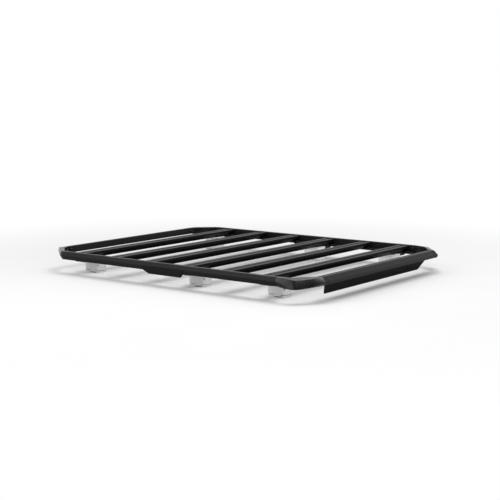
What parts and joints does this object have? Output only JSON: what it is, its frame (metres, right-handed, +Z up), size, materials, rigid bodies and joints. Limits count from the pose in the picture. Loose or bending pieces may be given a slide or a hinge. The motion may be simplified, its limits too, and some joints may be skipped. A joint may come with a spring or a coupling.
{
  "type": "flat platform roof rack",
  "caption": "Flat platform roof rack: side rails and moulded corners around slotted cross slats, with a sloping front bar, a wind deflector below it and low feet.",
  "frame": {"origin": "middle of the rack's plan at the underside of the feet", "axes": "+Z up, the front edge with the wind deflector faces -Y, X across the rack, the picture's near rail at -X"},
  "size_m": [1.2636, 1.6082, 0.113],
  "materials": {
    "black_extrusion": "satin black powder coat",
    "corner_plastic": "satin moulded black plastic",
    "black_sheet": "satin black",
    "foot_grey": "plain light grey",
    "foot_rubber": "plain light grey",
    "bracket_black": "black"
  },
  "bodies": {
    "root": {"right_side_rail": "black_extrusion", "left_side_rail": "black_extrusion", "slat_1": "black_extrusion", "slat_2": "black_extrusion", "slat_3": "black_extrusion", "slat_4": "black_extrusion", "slat_5": "black_extrusion", "slat_6": "black_extrusion", "rear_bar": "black_extrusion", "front_bar": "black_extrusion", "right_front_corner": "corner_plastic", "right_rear_corner": "corner_plastic", "left_front_corner": "corner_plastic", "left_rear_corner": "corner_plastic", "wind_deflector": "black_sheet", "right_side_plate": "black_sheet", "left_side_plate": "black_sheet", "rear_right_foot_cover": "foot_grey", "rear_right_foot_base": "foot_rubber", "rear_right_foot_bracket": "bracket_black", "rear_left_foot_cover": "foot_grey", "rear_left_foot_base": "foot_rubber", "rear_left_foot_bracket": "bracket_black", "middle_right_foot_cover": "foot_grey", "middle_right_foot_base": "foot_rubber", "middle_right_foot_bracket": "bracket_black", "middle_left_foot_cover": "foot_grey", "middle_left_foot_base": "foot_rubber", "middle_left_foot_bracket": "bracket_black", "front_right_foot_cover": "foot_grey", "front_right_foot_base": "foot_rubber", "front_right_foot_bracket": "bracket_black", "front_left_foot_cover": "foot_grey", "front_left_foot_base": "foot_rubber", "front_left_foot_bracket": "bracket_black"}
  },
  "joints": []
}
